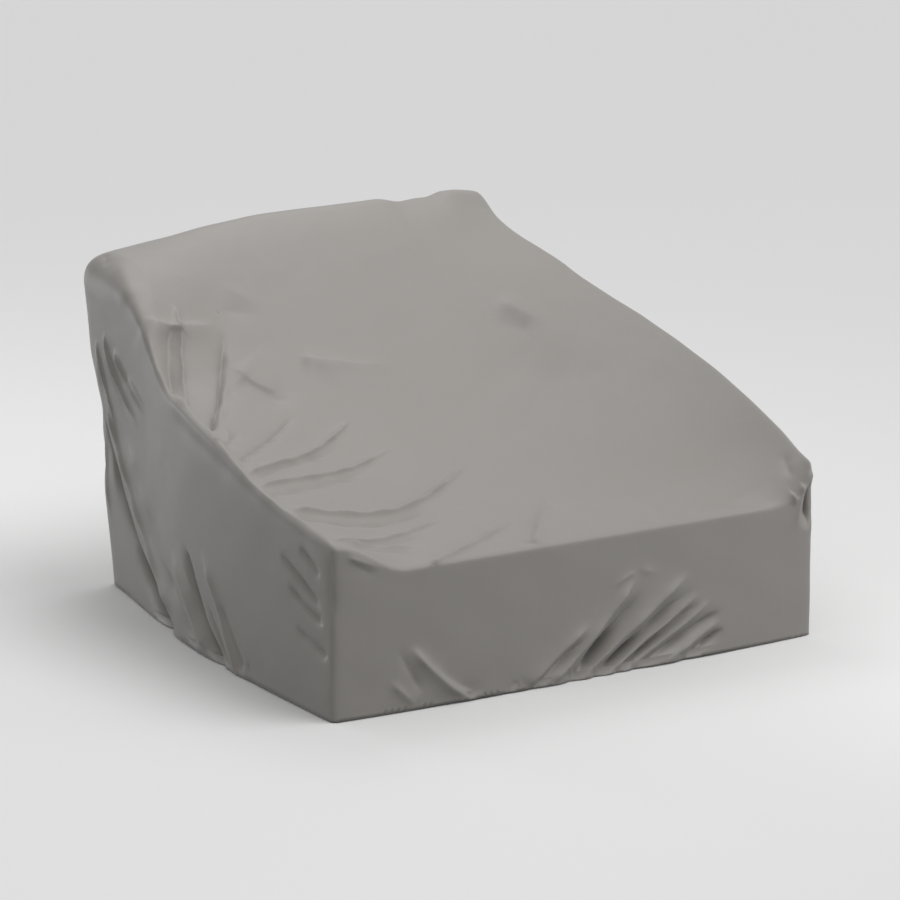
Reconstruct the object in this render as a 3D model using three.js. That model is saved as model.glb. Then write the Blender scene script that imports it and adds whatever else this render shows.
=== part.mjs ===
// A fitted weather cover for an outdoor daybed, in the drape that it has in use.
// One skin of coated polyester: a dished top, four walls and an open hem.
// Millimetres, +Z up. X runs along the front, Y from the front hem to the back.
import * as THREE from 'three';

const SHEET = 2;              // cloth thickness
const HEM_WAVE = 3;           // how far the hem lifts between its low spots
const BACK_RIM = 1545;        // front hem to the top edge of the back
const BACK_HEM = 1480;        // front hem to the back hem
const FRONT_BOW = 26;         // how far the front hem stands out between its corners
const HALF = 775;             // half the width at the front hem
const WALL_SPAN = 1;          // share of HALF that a wall takes in the flat layout
const FRONT_ROUND = 11;       // rounding of the crease over the front wall
const BACK_ROUND = 58;        // rounding of the top edge of the back
const CLOTH = { color: 0x9c9894, roughness: 0.72, metalness: 0 };

// Cross sections from front to back. half* is the half width of the rim on each
// side, z* the height of the left rim, the middle and the right rim. dish* is the
// share of the half width where the dish starts to climb to that rim, flat* how
// level it runs out at the rim, round* the rounding of the rim.
const SECTIONS = [
  { y: 0,    halfL: 768, halfR: 772, zL: 477, zM: 388,  zR: 497,  dishL: 0.70, dishR: 0.80, flatL: 1,   flatR: -0.5,  roundL: 16,  roundR: 14 },
  { y: 60,   halfL: 772, halfR: 774, zL: 492, zM: 399,  zR: 515,  dishL: 0.66, dishR: 0.45, flatL: 0.9, flatR: -0.3,  roundL: 22,  roundR: 16 },
  { y: 170,  halfL: 776, halfR: 777, zL: 508, zM: 410,  zR: 562,  dishL: 0.50, dishR: 0.30, flatL: 0.6, flatR: -0.35, roundL: 25,  roundR: 18 },
  { y: 290,  halfL: 777, halfR: 778, zL: 526, zM: 420,  zR: 607,  dishL: 0.38, dishR: 0.15, flatL: 0.5, flatR: -0.2,  roundL: 26,  roundR: 20 },
  { y: 430,  halfL: 777, halfR: 778, zL: 558, zM: 436,  zR: 653,  dishL: 0.30, dishR: 0.05, flatL: 0.4, flatR: 0,     roundL: 26,  roundR: 22 },
  { y: 640,  halfL: 769, halfR: 770, zL: 624, zM: 478,  zR: 713,  dishL: 0.30, dishR: 0.00, flatL: 0.4, flatR: 0.1,   roundL: 27,  roundR: 24 },
  { y: 820,  halfL: 757, halfR: 758, zL: 663, zM: 543,  zR: 757,  dishL: 0.30, dishR: 0.00, flatL: 0.4, flatR: 0.15,  roundL: 28,  roundR: 26 },
  { y: 1000, halfL: 731, halfR: 730, zL: 700, zM: 640,  zR: 806,  dishL: 0.40, dishR: 0.05, flatL: 0.4, flatR: 0.2,   roundL: 30,  roundR: 28 },
  { y: 1105, halfL: 713, halfR: 712, zL: 773, zM: 712,  zR: 838,  dishL: 0.50, dishR: 0.10, flatL: 0.5, flatR: 0.3,   roundL: 36,  roundR: 30 },
  { y: 1170, halfL: 704, halfR: 700, zL: 846, zM: 764,  zR: 861,  dishL: 0.56, dishR: 0.15, flatL: 0.6, flatR: 0.35,  roundL: 46,  roundR: 30 },
  { y: 1260, halfL: 700, halfR: 684, zL: 915, zM: 842,  zR: 886,  dishL: 0.50, dishR: 0.30, flatL: 0.7, flatR: 0.45,  roundL: 70,  roundR: 30 },
  { y: 1340, halfL: 702, halfR: 669, zL: 950, zM: 916,  zR: 907,  dishL: 0.40, dishR: 0.50, flatL: 0.8, flatR: 0.5,   roundL: 95,  roundR: 32 },
  { y: 1450, halfL: 704, halfR: 653, zL: 970, zM: 1003, zR: 950,  dishL: 0.20, dishR: 0.70, flatL: 0.8, flatR: 0.5,   roundL: 115, roundR: 34 },
  { y: 1500, halfL: 704, halfR: 649, zL: 972, zM: 1028, zR: 985,  dishL: 0.10, dishR: 0.80, flatL: 0.8, flatR: 0.6,   roundL: 115, roundR: 30 },
  { y: 1545, halfL: 700, halfR: 647, zL: 968, zM: 1033, zR: 1022, dishL: 0.05, dishR: 0.84, flatL: 0.8, flatR: 0.8,   roundL: 110, roundR: 26 },
];

// Half widths of the hem, which runs straight and then draws in to the back.
const HEM = [
  { y: 0,    left: 775, right: 775 },
  { y: 330,  left: 780, right: 779 },
  { y: 580,  left: 776, right: 775 },
  { y: 835,  left: 759, right: 757 },
  { y: 1080, left: 715, right: 714 },
  { y: 1330, left: 669, right: 668 },
  { y: 1480, left: 645, right: 645 },
];

// How square each upright corner is: a higher number is a sharper corner.
const CORNER = { frontLeft: 90, frontRight: 90, backLeft: 60, backRight: 60 };

// Folds and soft forms. Each runs through three places on one face, given as X and Z
// on the front and back, Y and Z on the sides, X and Y on the top. Width is from the
// crest to about a third of the height, at its start and its end. Crest is how blunt
// it is. Height is out of the cloth, or in where it is negative. Lean sets one flank
// steeper than the other. Fade* is the share of the length over which it rises and
// dies, 0 at a cut hem.
const FOLDS = [
  // Fan of folds drawn up from the front hem
  { face: 'front', start: [44, 146], middle: [-84, 64], end: [-214, -2], width: [13, 16], crest: 0.35, height: 11, lean: -0.1, fadeIn: 0.3, fadeOut: 0.1 },
  { face: 'front', start: [187, 268], middle: [46, 121], end: [-140, -3], width: [12, 16], crest: 0.35, height: 15, lean: -0.1, fadeIn: 0.2, fadeOut: 0.1 },
  { face: 'front', start: [366, 216], middle: [188, 121], end: [20, -3], width: [12, 15], crest: 0.35, height: 14, lean: -0.1, fadeIn: 0.25, fadeOut: 0.1 },
  { face: 'front', start: [424, 185], middle: [251, 86], end: [76, -3], width: [10, 13], crest: 0.35, height: 12, lean: -0.1, fadeIn: 0.25, fadeOut: 0.1 },
  { face: 'front', start: [462, 147], middle: [286, 62], end: [112, -3], width: [9, 12], crest: 0.35, height: 10, lean: -0.1, fadeIn: 0.25, fadeOut: 0.1 },
  { face: 'front', start: [488, 106], middle: [390, 51], end: [292, -3], width: [9, 11], crest: 0.35, height: 8, lean: -0.1, fadeIn: 0.3, fadeOut: 0.1 },
  // Valleys between them
  { face: 'front', start: [70, 150], middle: [-57, 63], end: [-188, -3], width: [12, 15], crest: 0.35, height: -17, lean: 0, fadeIn: 0.45, fadeOut: 0 },
  { face: 'front', start: [226, 208], middle: [106, 98], end: [-20, -4], width: [18, 22], crest: 0.5, height: -28, lean: 0, fadeIn: 0.35, fadeOut: 0 },
  { face: 'front', start: [380, 184], middle: [203, 89], end: [36, -3], width: [13, 17], crest: 0.4, height: -26, lean: 0, fadeIn: 0.35, fadeOut: 0 },
  { face: 'front', start: [430, 158], middle: [256, 72], end: [84, -3], width: [11, 15], crest: 0.4, height: -24, lean: 0, fadeIn: 0.35, fadeOut: 0 },
  { face: 'front', start: [464, 124], middle: [304, 50], end: [142, -3], width: [10, 13], crest: 0.4, height: -21, lean: 0, fadeIn: 0.35, fadeOut: 0 },
  // Two folds low on the left of the front
  { face: 'front', start: [-543, 184], middle: [-474, 99], end: [-358, 0], width: [13, 18], crest: 0.35, height: 15, lean: -0.2, fadeIn: 0.35, fadeOut: 0 },
  { face: 'front', start: [-452, 108], middle: [-404, 54], end: [-300, 4], width: [16, 22], crest: 0.35, height: -7, lean: 0, fadeIn: 0.4, fadeOut: 0.2 },
  // Tucks where the cloth turns the right corner of the front
  { face: 'front', start: [744, 436], middle: [741, 377], end: [736, 306], width: [10, 11], crest: 0.35, height: -9, lean: 0, fadeIn: 0.3, fadeOut: 0.4 },
  { face: 'right', start: [14, 380], middle: [37, 275], end: [60, 170], width: [44, 60], crest: 1.2, height: 12, lean: 0, fadeIn: 0.4, fadeOut: 0.4 },
  // Long folds hanging from the back corner down the left side
  { face: 'left', start: [1474, 640], middle: [1285, 262], end: [935, -2], width: [11, 20], crest: 0.35, height: -26, lean: 0, fadeIn: 0.2, fadeOut: 0 },
  { face: 'left', start: [1190, 168], middle: [1068, 84], end: [925, -4], width: [14, 26], crest: 0.35, height: -34, lean: 0, fadeIn: 0.45, fadeOut: 0 },
  { face: 'left', start: [1456, 650], middle: [1306, 336], end: [962, 34], width: [10, 14], crest: 0.35, height: 13, lean: 0, fadeIn: 0.15, fadeOut: 0.1 },
  { face: 'left', start: [1472, 713], middle: [1427, 487], end: [1370, 233], width: [16, 22], crest: 0.35, height: 10, lean: 0, fadeIn: 0.25, fadeOut: 0.4 },
  { face: 'left', start: [1406, 727], middle: [1333, 626], end: [1237, 530], width: [10, 13], crest: 0.35, height: -10, lean: 0, fadeIn: 0.3, fadeOut: 0.4 },
  { face: 'left', start: [1312, 500], middle: [1187, 368], end: [1029, 225], width: [26, 30], crest: 0.6, height: 9, lean: 0, fadeIn: 0.35, fadeOut: 0.4 },
  { face: 'left', start: [970, 184], middle: [830, 136], end: [690, 36], width: [14, 18], crest: 0.35, height: -9, lean: 0, fadeIn: 0.4, fadeOut: 0.2 },
  { face: 'left', start: [930, 218], middle: [789, 154], end: [640, 20], width: [14, 18], crest: 0.35, height: 10, lean: 0, fadeIn: 0.4, fadeOut: 0.1 },
  { face: 'left', start: [820, 306], middle: [720, 162], end: [580, 0], width: [12, 17], crest: 0.35, height: -24, lean: 0, fadeIn: 0.3, fadeOut: 0 },
  { face: 'left', start: [728, 298], middle: [630, 196], end: [505, 0], width: [14, 18], crest: 0.35, height: 12, lean: 0, fadeIn: 0.4, fadeOut: 0 },
  { face: 'left', start: [611, 186], middle: [559, 120], end: [470, 8], width: [11, 14], crest: 0.35, height: -10, lean: 0, fadeIn: 0.4, fadeOut: 0.1 },
  // Short slanting tucks beside the front corner
  { face: 'left', start: [176, 440], middle: [119, 411], end: [60, 380], width: [9, 9], crest: 0.35, height: -12, lean: 0.2, fadeIn: 0.3, fadeOut: 0.25 },
  { face: 'left', start: [270, 404], middle: [171, 351], end: [50, 295], width: [9, 10], crest: 0.35, height: -15, lean: 0.2, fadeIn: 0.3, fadeOut: 0.2 },
  { face: 'left', start: [228, 326], middle: [147, 285], end: [42, 255], width: [9, 10], crest: 0.35, height: -14, lean: 0.2, fadeIn: 0.3, fadeOut: 0.2 },
  { face: 'left', start: [190, 220], middle: [109, 188], end: [22, 170], width: [10, 10], crest: 0.35, height: -12, lean: 0.2, fadeIn: 0.3, fadeOut: 0.2 },
  // Wrinkles that run from the left arm across the dish
  { face: 'top', start: [-352, 909], middle: [-481, 797], end: [-728, 536], width: [8, 11], crest: 0.35, height: -9, lean: 0, fadeIn: 0.3, fadeOut: 0.05 },
  { face: 'top', start: [-201, 858], middle: [-385, 738], end: [-757, 480], width: [9, 12], crest: 0.35, height: 11, lean: -0.4, fadeIn: 0.3, fadeOut: 0.05 },
  { face: 'top', start: [-145, 723], middle: [-398, 607], end: [-760, 411], width: [9, 12], crest: 0.35, height: 10, lean: -0.4, fadeIn: 0.3, fadeOut: 0.05 },
  { face: 'top', start: [-223, 675], middle: [-495, 512], end: [-756, 356], width: [12, 16], crest: 0.35, height: -9, lean: 0, fadeIn: 0.35, fadeOut: 0.05 },
  { face: 'top', start: [35, 616], middle: [-340, 365], end: [-752, 260], width: [9, 12], crest: 0.35, height: 15, lean: -0.4, fadeIn: 0.3, fadeOut: 0.05 },
  { face: 'top', start: [-200, 410], middle: [-500, 258], end: [-750, 222], width: [12, 15], crest: 0.35, height: -12, lean: 0, fadeIn: 0.3, fadeOut: 0.05 },
  { face: 'top', start: [-237, 282], middle: [-451, 192], end: [-742, 44], width: [9, 11], crest: 0.35, height: 9, lean: -0.4, fadeIn: 0.3, fadeOut: 0.05 },
  { face: 'top', start: [-83, 197], middle: [-256, 89], end: [-452, 8], width: [10, 11], crest: 0.35, height: 10, lean: -0.4, fadeIn: 0.3, fadeOut: 0 },
  { face: 'top', start: [180, 414], middle: [26, 213], end: [-137, 12], width: [22, 16], crest: 0.35, height: 10, lean: -0.2, fadeIn: 0.4, fadeOut: 0.05 },
  // Folds in the corner between the back and the left arm
  { face: 'top', start: [-578, 1196], middle: [-630, 1070], end: [-730, 862], width: [7, 8], crest: 0.35, height: 9, lean: 0, fadeIn: 0.1, fadeOut: 0.2 },
  { face: 'top', start: [-602, 1180], middle: [-655, 1075], end: [-738, 880], width: [14, 13], crest: 0.5, height: -10, lean: 0, fadeIn: 0.15, fadeOut: 0.2 },
  { face: 'top', start: [-412, 1214], middle: [-481, 1082], end: [-742, 690], width: [14, 13], crest: 0.35, height: -16, lean: 0, fadeIn: 0.25, fadeOut: 0.1 },
  { face: 'top', start: [-478, 1094], middle: [-414, 1034], end: [-318, 978], width: [30, 28], crest: 0.4, height: 19, lean: 0.6, fadeIn: 0.12, fadeOut: 0.3 },
  { face: 'top', start: [-668, 1216], middle: [-580, 1172], end: [-415, 1206], width: [34, 32], crest: 0.5, height: 13, lean: -0.5, fadeIn: 0.25, fadeOut: 0.3 },
  // Soft forms where the top turns up to the back
  { face: 'top', start: [-250, 1092], middle: [-100, 1062], end: [50, 1032], width: [28, 36], crest: 0.8, height: 14, lean: -0.2, fadeIn: 0.3, fadeOut: 0.4 },
  { face: 'top', start: [440, 1150], middle: [500, 1060], end: [560, 970], width: [36, 40], crest: 1.0, height: 13, lean: 0.2, fadeIn: 0.35, fadeOut: 0.4 },
  { face: 'top', start: [390, 1150], middle: [432, 1070], end: [474, 990], width: [34, 40], crest: 1.0, height: -13, lean: 0, fadeIn: 0.35, fadeOut: 0.4 },
  { face: 'top', start: [290, 1020], middle: [445, 835], end: [600, 650], width: [90, 100], crest: 1.2, height: -9, lean: 0, fadeIn: 0.35, fadeOut: 0.4 },
  { face: 'top', start: [250, 1526], middle: [375, 1526], end: [500, 1526], width: [70, 60], crest: 1.2, height: -14, lean: 0, fadeIn: 0.4, fadeOut: 0.3 },
  // The side and the back that the picture leaves to judgement
  { face: 'right', start: [1440, 760], middle: [1290, 380], end: [960, 6], width: [22, 36], crest: 0.35, height: -19, lean: -0.2, fadeIn: 0.3, fadeOut: 0 },
  { face: 'right', start: [1330, 720], middle: [1160, 360], end: [820, 10], width: [22, 32], crest: 0.35, height: 12, lean: 0, fadeIn: 0.3, fadeOut: 0 },
  { face: 'right', start: [690, 300], middle: [600, 170], end: [470, 4], width: [20, 28], crest: 0.35, height: -13, lean: -0.2, fadeIn: 0.4, fadeOut: 0 },
  { face: 'back', start: [-560, 860], middle: [-470, 480], end: [-420, 4], width: [28, 40], crest: 0.6, height: -18, lean: 0, fadeIn: 0.3, fadeOut: 0 },
  { face: 'back', start: [-470, 800], middle: [-350, 420], end: [-300, 4], width: [28, 38], crest: 0.6, height: 13, lean: 0, fadeIn: 0.35, fadeOut: 0 },
  { face: 'back', start: [570, 880], middle: [450, 500], end: [390, 4], width: [28, 42], crest: 0.6, height: -18, lean: 0, fadeIn: 0.25, fadeOut: 0 },
  { face: 'back', start: [480, 760], middle: [330, 400], end: [250, 4], width: [28, 40], crest: 0.6, height: 13, lean: 0, fadeIn: 0.35, fadeOut: 0 },
];

// Flat layout that the facets are cut in: the top is a square and each wall a strip
// along one edge of it. Pitch is the distance between facets, by face.
const TOP_PITCH = 66;
const WALLS = {
  front: { edge: (u) => [u, -1], axes: ['x', 'z'], pitch: 46, rows: 6 },
  left:  { edge: (u) => [-1, u], axes: ['y', 'z'], pitch: 46, rows: 9 },
  right: { edge: (u) => [1, u],  axes: ['y', 'z'], pitch: 64, rows: 6 },
  back:  { edge: (u) => [u, 1],  axes: ['x', 'z'], pitch: 62, rows: 7 },
};
const RIM_ROWS = [-1, 0, 1];          // rows over a rounding, from the top to the wall
const WIDE_RIM_ROWS = [-1, -0.5, 0, 0.5, 1];
const WIDE_RIMS = ['left', 'back'];   // rims whose rounding is wide enough for more rows
const NEAR_RIM = 0.06;                // an extra row of the top inside its rims
const UPRIGHT_ROWS = 10;              // rows of facets down each upright corner
const UPRIGHT_TURN = [0.012, 0.03];   // extra columns beside each upright corner
const FOLD_STEP = 50;                 // distance between the facets along a fold
const FOLD_CLEAR = 13;                // closest that two facet corners may lie
const PLAIN_CLEAR = 50;               // the same away from the folds
const PATH_STEPS = 14;                // straight pieces that stand for a fold's line
const UNEVEN = 0.01;                  // how far a facet corner strays in the layout
const SAME = 1e-6;                    // two places this close in the layout are one
const SLIDE = 0.05;                   // share of a fold's length that its run is read over
const WIDE_FOLD = 30;                 // a fold past this width takes more facets
const BESIDE = [1.1, -1.1];           // rows beside a fold's line, in widths
const BESIDE_WIDE = [0.7, -0.7, 1.6, -1.6];
const FOLD_FALL = 1.2;                // how fast a fold falls away beside its line
const FOLD_REACH = 5;                 // widths past which a fold moves nothing
const RIM_BLEND = 24;                 // how suddenly one rim's rounding gives way to the next
const SEEK = { top: 12, wall: 30 };   // steps taken to find a place on the skin
const SEEK_SHARE = 0.8;               // share of a wall's missing height taken in a step
const TOP_LIMIT = 0.985;              // nearest that a fold of the top comes to its rim
const WALL_LIMIT = 0.995;             // nearest that a fold of a wall comes to its upright
const RIM_LIMIT = 0.02;               // nearest that a fold of a wall comes to the rim
const SLOPE_STEP = 2e-3;              // distance in the layout that slopes are read over

const clamp = (v, lo, hi) => Math.min(hi, Math.max(lo, v));
const mix = (a, b, t) => a + (b - a) * t;
const soft = (t) => { const c = clamp(t, 0, 1); return c * c * (3 - 2 * c); };

// A smooth reading of one column of a table at y: cubic between rows, no overshoot.
function column(rows, name, y) {
  const last = rows.length - 1;
  if (y <= rows[0].y) return rows[0][name];
  if (y >= rows[last].y) return rows[last][name];
  let i = 0;
  while (rows[i + 1].y < y) i++;
  const rise = (j) => (rows[j + 1][name] - rows[j][name]) / (rows[j + 1].y - rows[j].y);
  const bend = (j) => {
    if (j === 0) return rise(0);
    if (j === last) return rise(last - 1);
    const before = rise(j - 1), after = rise(j);
    return before * after <= 0 ? 0 : (2 * before * after) / (before + after);
  };
  const step = rows[i + 1].y - rows[i].y;
  const t = (y - rows[i].y) / step;
  const start = rows[i][name], end = rows[i + 1][name];
  return start * (1 + 2 * t) * (1 - t) ** 2 + end * t * t * (3 - 2 * t)
    + step * (bend(i) * t * (1 - t) ** 2 - bend(i + 1) * t * t * (1 - t));
}

// Pull a place on the square outline in at the corners, as a rounded plan has it.
function squareness(a, b) {
  if (a === 0 && b === 0) return 1;
  const front = mix(CORNER.frontLeft, CORNER.frontRight, soft((a + 1) / 2));
  const back = mix(CORNER.backLeft, CORNER.backRight, soft((a + 1) / 2));
  const n = mix(front, back, soft((b + 1) / 2));
  return (Math.abs(a) ** n + Math.abs(b) ** n) ** (-1 / n);
}

// The dished top: a and b run from -1 to 1 across and along it.
function topPoint(a, b) {
  const m = Math.max(Math.abs(a), Math.abs(b), 1e-9);
  const k = squareness(a / m, b / m);
  const across = a * k, along = b * k;
  const y = BACK_RIM * (along + 1) / 2;
  const side = across < 0 ? 'L' : 'R';
  const half = column(SECTIONS, 'half' + side, y);
  const middle = column(SECTIONS, 'zM', y);
  const rim = column(SECTIONS, 'z' + side, y);
  const dish = column(SECTIONS, 'dish' + side, y);
  const flat = column(SECTIONS, 'flat' + side, y);
  const climb = Math.max(0, (Math.abs(across) - dish) / (1 - dish));
  const rise = climb * climb * (1 + 2 * flat * (1 - climb));
  return new THREE.Vector3(across * half, y, mix(middle, rim, rise));
}

// A place on the hem below the rim place (a, b) of the unit square.
function hemPoint(a, b) {
  const k = squareness(a, b);
  const y = BACK_HEM * (b * k + 1) / 2;
  const half = column(HEM, a < 0 ? 'left' : 'right', y);
  const bow = FRONT_BOW * (1 - a * a) * soft(-4 * b - 3);
  const wave = HEM_WAVE * (0.5 + 0.5 * Math.sin(7 * a + 9 * b + 1));
  return new THREE.Vector3(a * k * half, y - bow, wave);
}

function wallPoint(a, b, t) {
  return topPoint(a, b).lerp(hemPoint(a, b), t);
}

// The rounding at a rim place: its size, and its share of the top and of the wall.
function rounding(a, b) {
  const rim = topPoint(a, b);
  const across = Math.abs(a) ** RIM_BLEND, along = Math.abs(b) ** RIM_BLEND;
  const sideRound = column(SECTIONS, a < 0 ? 'roundL' : 'roundR', rim.y);
  const endRound = b < 0 ? FRONT_ROUND : BACK_ROUND;
  const round = (across * sideRound + along * endRound) / (across + along);
  return { rim, round, inner: round / HALF, outer: round / rim.z };
}

// The whole skin before its folds. Inside the unit square is the top, outside it
// the walls, with a rounding between them that keeps both slopes.
function skinPoint(a, b) {
  const m = Math.max(Math.abs(a), Math.abs(b), 1e-9);
  const ra = a / m, rb = b / m;
  const t = (m - 1) / WALL_SPAN;
  const { rim, inner, outer } = rounding(ra, rb);
  if (m <= 1 - inner) return topPoint(a, b);
  if (t >= outer) return wallPoint(ra, rb, t);
  const s = m < 1 ? (m - 1 + inner) / inner / 2 : 0.5 + t / outer / 2;
  const start = topPoint(ra * (1 - inner), rb * (1 - inner));
  const end = wallPoint(ra, rb, outer);
  return start.multiplyScalar((1 - s) ** 2)
    .addScaledVector(rim, 2 * s * (1 - s)).addScaledVector(end, s * s);
}

const outward = (a, b) => {
  const e = SLOPE_STEP;
  const alongA = skinPoint(a + e, b).sub(skinPoint(a - e, b));
  const alongB = skinPoint(a, b + e).sub(skinPoint(a, b - e));
  return alongA.cross(alongB).normalize();
};

// The layout place whose skin point has the two sizes given for a face.
function placeOn(face, target) {
  if (face === 'top') {
    let a = target[0] / HALF, b = 2 * target[1] / BACK_RIM - 1;
    for (let i = 0; i < SEEK.top; i++) {
      const p = skinPoint(a, b);
      a = clamp(a + (target[0] - p.x) / HALF, -TOP_LIMIT, TOP_LIMIT);
      b = clamp(b + 2 * (target[1] - p.y) / BACK_RIM, -TOP_LIMIT, TOP_LIMIT);
    }
    return [a, b];
  }
  const { edge, axes } = WALLS[face];
  let u = 0, t = 0.5;
  for (let i = 0; i < SEEK.wall; i++) {
    const p = wallPoint(...edge(u), t);
    const reach = axes[0] === 'x' ? HALF : BACK_HEM / 2;
    u = clamp(u + (target[0] - p[axes[0]]) / reach, -WALL_LIMIT, WALL_LIMIT);
    t = clamp(t + SEEK_SHARE * (p.z - target[1]) / topPoint(...edge(u)).z, RIM_LIMIT, 1);
  }
  return edge(u).map((v) => v * (1 + WALL_SPAN * t));
}

// A place on a fold's line, s from 0 to 1, and how far aside it lies on the face.
function alongFold(fold, s, aside = 0) {
  const bend = [0, 1].map((i) => 2 * fold.middle[i] - (fold.start[i] + fold.end[i]) / 2);
  const at = [0, 1].map((i) => (1 - s) ** 2 * fold.start[i] + 2 * s * (1 - s) * bend[i] + s * s * fold.end[i]);
  const way = [0, 1].map((i) => 2 * (1 - s) * (bend[i] - fold.start[i]) + 2 * s * (fold.end[i] - bend[i]));
  const size = Math.hypot(...way);
  return [at[0] - aside * way[1] / size, at[1] + aside * way[0] / size];
}

// Each fold's line in space, ready to measure from.
const paths = FOLDS.map((fold) => {
  const places = [];
  for (let i = 0; i <= PATH_STEPS; i++) places.push(placeOn(fold.face, alongFold(fold, i / PATH_STEPS)));
  const points = places.map(([a, b]) => skinPoint(a, b));
  const normal = outward(...places[PATH_STEPS / 2]);
  const length = points.slice(1).reduce((sum, p, i) => sum + p.distanceTo(points[i]), 0);
  return { fold, points, normal, length };
});

// How far a fold moves the cloth at a point.
function foldHeight({ fold, points, normal }, point) {
  let near = Infinity, s = 0, away = null, way = null;
  const offset = new THREE.Vector3(), leg = new THREE.Vector3();
  for (let i = 0; i < PATH_STEPS; i++) {
    leg.subVectors(points[i + 1], points[i]);
    offset.subVectors(point, points[i]);
    const t = clamp(offset.dot(leg) / leg.lengthSq(), 0, 1);
    offset.addScaledVector(leg, -t);
    const gap = offset.length();
    if (gap < near) {
      near = gap;
      s = (i + t) / PATH_STEPS;
      away = offset.clone();
      way = leg.clone();
    }
  }
  const width = mix(fold.width[0], fold.width[1], s);
  if (near > FOLD_REACH * width) return 0;
  const left = way.cross(normal).dot(away) < 0 ? 1 : -1;
  const q = near / (width * (1 + left * fold.lean));
  const shape = Math.exp(-FOLD_FALL * (Math.hypot(q, fold.crest) - fold.crest));
  const start = fold.fadeIn > 0 ? soft(s / fold.fadeIn) : 1;
  const end = fold.fadeOut > 0 ? soft((1 - s) / fold.fadeOut) : 1;
  return fold.height * shape * start * end;
}

function clothPoint([a, b]) {
  const point = skinPoint(a, b);
  const lift = paths.reduce((sum, path) => sum + foldHeight(path, point), 0);
  return point.clone().addScaledVector(outward(a, b), lift);
}

// Facet corners in the flat layout: first the bands along the rims, the uprights and
// the hem, then the folds, then an even spread. A corner is left out where it would
// crowd one before it, or would break an edge of a band.
const places = [];
const guards = [];
const ahead = [];

// The flat layout as a disc, so that rims are circles and columns run straight out.
function flat([a, b]) {
  const wide = Math.abs(a) > Math.abs(b);
  const [lead, turn] = wide ? [a, b / (a || 1)] : [b, a / (b || 1)];
  const angle = wide ? Math.PI / 4 * turn : Math.PI / 2 - Math.PI / 4 * turn;
  return [HALF * lead * Math.cos(angle), HALF * lead * Math.sin(angle)];
}

const between = (p, q) => Math.hypot(q[0] - p[0], q[1] - p[1]);

// Add a place to the layout unless it would crowd one before it or break an edge.
function keep(place, clear) {
  const here = flat(place);
  const free = places.every((p) => between(flat(p), here) >= clear)
    && guards.every((g) => between(g.at, here) > g.reach);
  if (free) places.push(place);
  return free;
}

// The circle over an edge that has to stay clear for the edge to be kept.
function guard(from, to) {
  const [p, q] = [flat(from), flat(to)];
  return { at: [(p[0] + q[0]) / 2, (p[1] + q[1]) / 2], reach: between(p, q) / 2 };
}

function band(line) {
  line.forEach((place, i) => {
    if (places.every((p) => between(p, place) > SAME)) places.push(place);
    if (i > 0) guards.push(guard(line[i - 1], place));
  });
}

// A place beside a fold's line, slid along it until it is square to it in the layout.
function beside(fold, s, aside) {
  const [at, next, side] = [[s, 0], [s + SLIDE, 0], [s, aside]]
    .map(([along, out]) => flat(placeOn(fold.face, alongFold(fold, along, out))));
  const way = [next[0] - at[0], next[1] - at[1]];
  const slip = ((side[0] - at[0]) * way[0] + (side[1] - at[1]) * way[1]) / between(at, next) ** 2;
  return placeOn(fold.face, alongFold(fold, s - SLIDE * slip, aside));
}

function columnsOf({ edge, pitch }) {
  const count = Math.round(2 * HALF / pitch);
  const even = Array.from({ length: count - 1 }, (_, i) => -1 + 2 * (i + 1) / count);
  const turn = [0, ...UPRIGHT_TURN];
  return [...turn.map((v) => v - 1), ...even, ...turn.map((v) => 1 - v).reverse()].map(edge);
}

const scaled = (m) => ([a, b]) => [a * m, b * m];
for (const [face, wall] of Object.entries(WALLS)) {
  const columns = columnsOf(wall);
  const step = (s) => columns.map(([a, b]) => {
    const { inner, outer } = rounding(a, b);
    return scaled(s < 0 ? 1 + s * inner : 1 + s * WALL_SPAN * outer)([a, b]);
  });
  for (const s of WIDE_RIMS.includes(face) ? WIDE_RIM_ROWS : RIM_ROWS) band(step(s));
  band(columns.map(scaled(1 + WALL_SPAN)));
  for (const place of [...columns.slice(0, 3), ...columns.slice(-3)]) {
    const { outer } = rounding(...place);
    const from = 1 + WALL_SPAN * outer;
    const rows = Array.from({ length: UPRIGHT_ROWS + 1 }, (_, i) => mix(from, 1 + WALL_SPAN, i / UPRIGHT_ROWS));
    band(rows.map((m) => scaled(m)(place)));
  }
}
for (const { fold, length } of paths) {
  const count = Math.max(2, Math.round(length / FOLD_STEP));
  const stations = Array.from({ length: count + 1 }, (_, i) => i / count);
  let last = null;
  for (const s of stations) {
    const place = placeOn(fold.face, alongFold(fold, s));
    const kept = keep(place, FOLD_CLEAR);
    if (kept && last) ahead.push(guard(last, place));
    last = kept ? place : null;
  }
  guards.push(...ahead.splice(0));
  for (const s of stations) {
    const width = mix(fold.width[0], fold.width[1], s);
    for (const aside of width > WIDE_FOLD ? BESIDE_WIDE : BESIDE) {
      keep(beside(fold, s, aside * (1 + Math.sign(aside) * fold.lean) * width), FOLD_CLEAR);
    }
  }
}
for (const wall of Object.values(WALLS)) {
  for (const place of columnsOf(wall).slice(3, -3)) {
    keep(scaled(1 - rounding(...place).inner - NEAR_RIM)(place), PLAIN_CLEAR);
    for (let row = 1; row < wall.rows; row++) keep(scaled(1 + WALL_SPAN * row / wall.rows)(place), PLAIN_CLEAR);
  }
}
const topCount = Math.round(2 * HALF / TOP_PITCH);
for (let i = 1; i < topCount; i++) {
  for (let j = 1; j < topCount; j++) keep([-1 + 2 * i / topCount, -1 + 2 * j / topCount], PLAIN_CLEAR);
}

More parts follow.
